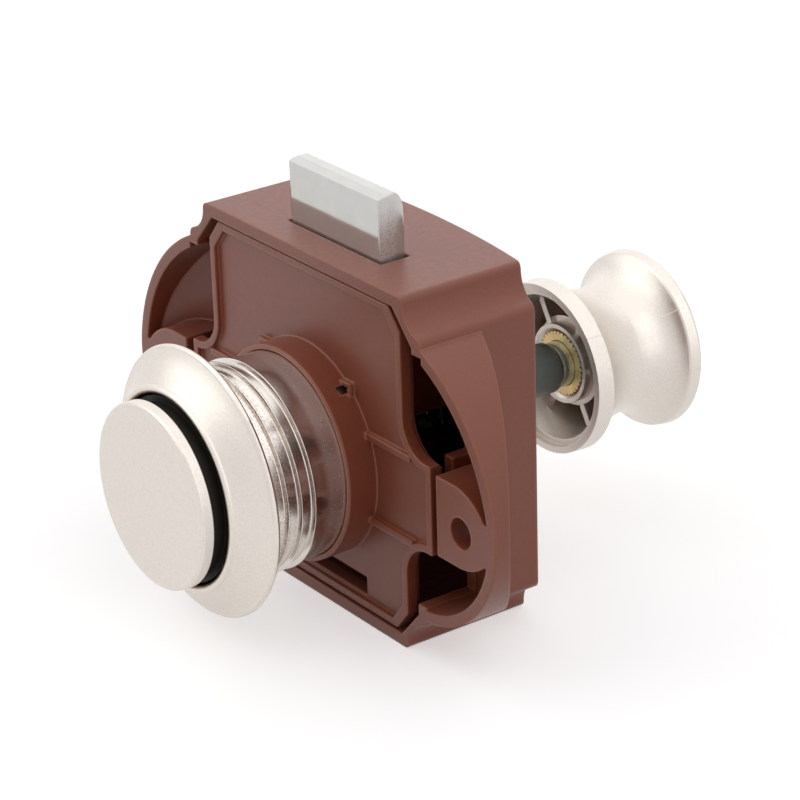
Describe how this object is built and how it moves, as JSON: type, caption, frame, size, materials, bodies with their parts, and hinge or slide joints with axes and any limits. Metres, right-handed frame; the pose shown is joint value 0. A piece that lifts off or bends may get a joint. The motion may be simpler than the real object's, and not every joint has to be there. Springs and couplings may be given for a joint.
{
  "type": "pushbutton lock",
  "caption": "Cabinet latch with a push-push button, a threaded door sleeve, a screw-on rosette, a moulded case, a sprung bevelled bolt and a pull knob on the inside.",
  "frame": {"origin": "on the button's axis, in the plane where the case meets the door, midway between the two fixing screws", "axes": "+X to the right as seen from the button, +Y along the button's axis into the cabinet, +Z the way the bolt comes out"},
  "size_m": [0.0728, 0.0734, 0.0518],
  "materials": {
    "case_plastic": "fine-grained brown moulding",
    "carrier_plastic": "black moulding",
    "satin_nickel": "satin nickel plating on a zinc casting",
    "bright_nickel": "bright nickel plating",
    "bolt_nickel": "drawn nickel plating on a zinc casting",
    "zinc_steel": "blue zinc plating",
    "spring_steel": "spring steel",
    "brass": "turned and knurled"
  },
  "bodies": {
    "case": {"case_shell": "case_plastic", "base_plate": "case_plastic", "threaded_sleeve": "bright_nickel", "sleeve_retaining_ring": "spring_steel", "rosette": "satin_nickel", "rear_bush": "carrier_plastic", "cam_pin_spring": "spring_steel", "button_spring": "spring_steel", "bolt_spring_left": "spring_steel", "bolt_spring_right": "spring_steel"},
    "button": {"push_button": "satin_nickel", "button_carrier": "carrier_plastic", "spindle": "zinc_steel", "spindle_clip": "spring_steel", "spring_washer": "zinc_steel", "knob": "satin_nickel", "knob_insert": "brass"},
    "bolt": {"latch_bolt": "bolt_nickel", "bolt_slide": "zinc_steel", "bolt_pin": "zinc_steel"},
    "cam": {"cam_pin": "spring_steel"}
  },
  "joints": [
    {"name": "button_push", "type": "slide", "parent": "case", "child": "button", "axis": [0, 1, 0], "range_m": [0, 0.004], "stiffness_N_per_m": 600, "springref_m": -0.006, "deforming": ["button_spring"]},
    {"name": "bolt_retract", "type": "slide", "parent": "case", "child": "bolt", "axis": [0, 0, -1], "range_m": [0, 0.0079], "stiffness_N_per_m": 300, "springref_m": -0.008, "deforming": ["bolt_spring_left", "bolt_spring_right"]},
    {"name": "cam_pin_swing", "type": "hinge", "parent": "case", "child": "cam", "pos_m": [0.016, 0.0145, 0], "axis": [-1, 0, 0], "range_deg": [0, 36]}
  ]
}
